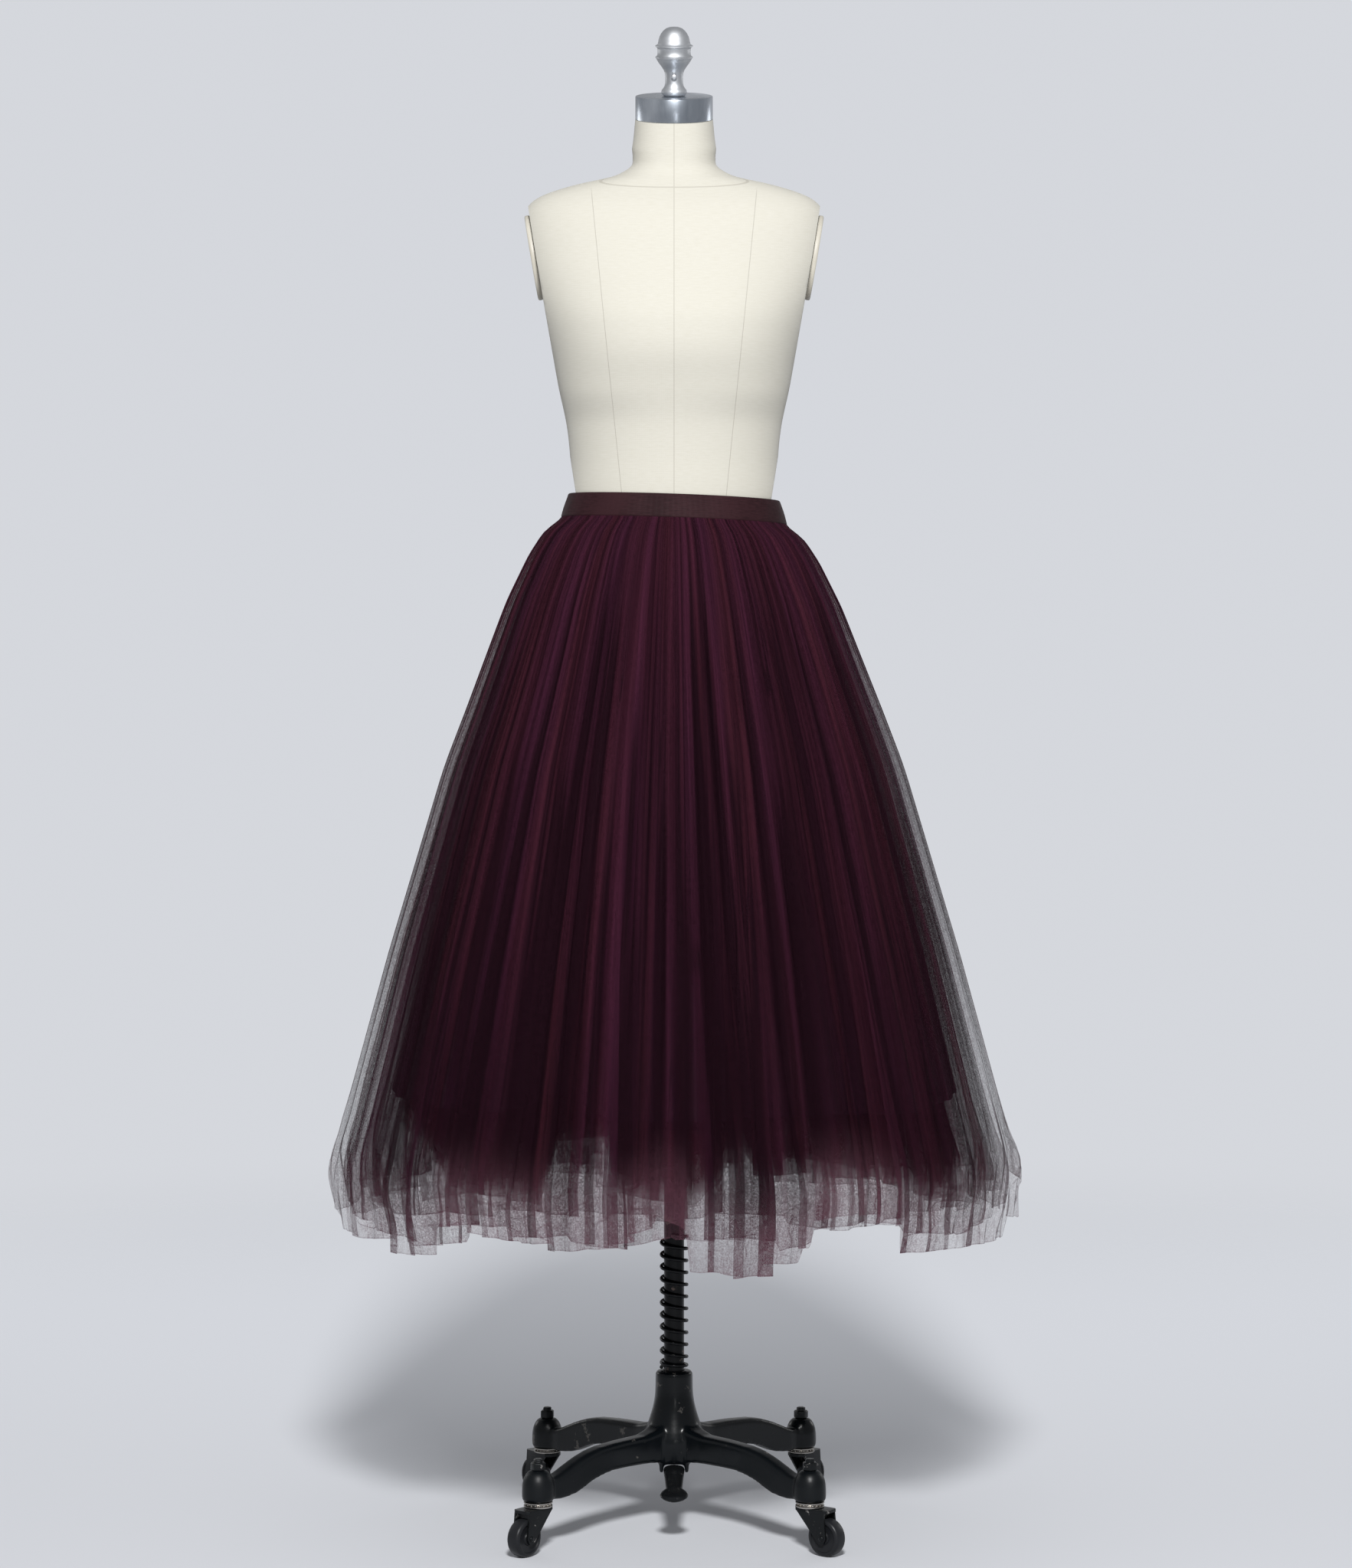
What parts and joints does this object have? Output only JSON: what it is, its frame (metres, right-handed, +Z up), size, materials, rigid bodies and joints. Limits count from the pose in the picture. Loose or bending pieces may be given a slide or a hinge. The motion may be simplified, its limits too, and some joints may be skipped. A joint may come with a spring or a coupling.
{
  "type": "layered tulle skirt on a dress form",
  "caption": "Full gathered skirt of layered sheer tulle over a lining and a net underskirt, on a limbless dress form with a pole and a wheeled cast-iron base.",
  "frame": {"origin": "on the floor, on the pole's axis, which is the middle of the skirt's outline", "axes": "+Z up along the pole, the skirt's front towards -Y, +X to the viewer's right when facing the front"},
  "size_m": [0.8403, 0.7921, 1.8305],
  "materials": {
    "band_faille": "ribbed faille, dark brown maroon",
    "sheer_tulle": "sheer fine tulle, plum veil",
    "burgundy_net": "gathered net, dark burgundy",
    "plum_lining": "satin lining, dark plum",
    "form_linen": "ivory linen cover",
    "brushed_cap": "brushed",
    "cast_finial": "silver-painted casting",
    "bare_steel": "worn bare steel",
    "plain_wood": "plain",
    "black_iron": "worn black enamel on cast iron",
    "black_spring": "gloss black",
    "black_fittings": "satin black",
    "wheel_rubber": "dark grey, satin"
  },
  "bodies": {
    "base": {"base_casting": "black_iron", "bumper_spring": "black_spring", "caster_nut_front_left": "black_fittings", "caster_nut_front_right": "black_fittings", "caster_nut_rear_left": "black_fittings", "caster_nut_rear_right": "black_fittings", "caster_race_front_left": "bare_steel", "caster_race_front_right": "bare_steel", "caster_race_rear_left": "bare_steel", "caster_race_rear_right": "bare_steel"},
    "post": {"pole": "bare_steel"},
    "form": {"form_body": "form_linen", "arm_plate_left": "form_linen", "arm_plate_right": "form_linen", "neck_cap": "brushed_cap", "finial": "cast_finial", "finial_screw": "bare_steel", "form_base_plate": "plain_wood", "pole_socket": "black_iron", "waistband": "band_faille", "tulle_outer": "sheer_tulle", "tulle_middle": "sheer_tulle", "tulle_inner": "sheer_tulle", "net_underskirt": "burgundy_net", "lining": "plum_lining"},
    "pedal": {"foot_pedal": "black_iron"},
    "swivel_front_left": {"caster_fork_front_left": "black_fittings"},
    "swivel_front_right": {"caster_fork_front_right": "black_fittings"},
    "swivel_rear_left": {"caster_fork_rear_left": "black_fittings"},
    "swivel_rear_right": {"caster_fork_rear_right": "black_fittings"},
    "wheel_front_left": {"caster_wheel_front_left": "wheel_rubber"},
    "wheel_front_right": {"caster_wheel_front_right": "wheel_rubber"},
    "wheel_rear_left": {"caster_wheel_rear_left": "wheel_rubber"},
    "wheel_rear_right": {"caster_wheel_rear_right": "wheel_rubber"}
  },
  "joints": [
    {"name": "height_slide", "type": "slide", "parent": "base", "child": "post", "axis": [0, 0, 1], "range_m": [-0.07, 0.08]},
    {"name": "form_turn", "type": "hinge", "parent": "post", "child": "form", "pos_m": [0, 0, 0.95], "axis": [0, 0, 1], "continuous": true},
    {"name": "pedal_press", "type": "hinge", "parent": "base", "child": "pedal", "pos_m": [0, -0.026, 0.072], "axis": [1, 0, 0], "range_deg": [0, 14], "stiffness_Nm_per_rad": 1.2, "springref_deg": -20.05},
    {"name": "swivel_turn_front_left", "type": "hinge", "parent": "base", "child": "swivel_front_left", "pos_m": [-0.161, -0.161, 0.055], "axis": [0, 0, 1], "continuous": true},
    {"name": "swivel_turn_front_right", "type": "hinge", "parent": "base", "child": "swivel_front_right", "pos_m": [0.161, -0.161, 0.055], "axis": [0, 0, 1], "continuous": true},
    {"name": "swivel_turn_rear_left", "type": "hinge", "parent": "base", "child": "swivel_rear_left", "pos_m": [-0.161, 0.161, 0.055], "axis": [0, 0, 1], "continuous": true},
    {"name": "swivel_turn_rear_right", "type": "hinge", "parent": "base", "child": "swivel_rear_right", "pos_m": [0.161, 0.161, 0.055], "axis": [0, 0, 1], "continuous": true},
    {"name": "wheel_spin_front_left", "type": "hinge", "parent": "swivel_front_left", "child": "wheel_front_left", "pos_m": [-0.17675, -0.17977, 0.0222], "axis": [0.766, -0.6428, 0], "continuous": true},
    {"name": "wheel_spin_front_right", "type": "hinge", "parent": "swivel_front_right", "child": "wheel_front_right", "pos_m": [0.18031, -0.17608, 0.0222], "axis": [0.6157, 0.788, 0], "continuous": true},
    {"name": "wheel_spin_rear_left", "type": "hinge", "parent": "swivel_rear_left", "child": "wheel_rear_left", "pos_m": [-0.17574, 0.18057, 0.0222], "axis": [-0.7986, -0.6018, 0], "continuous": true},
    {"name": "wheel_spin_rear_right", "type": "hinge", "parent": "swivel_rear_right", "child": "wheel_rear_right", "pos_m": [0.17398, 0.18178, 0.0222], "axis": [-0.848, 0.5299, 0], "continuous": true}
  ]
}
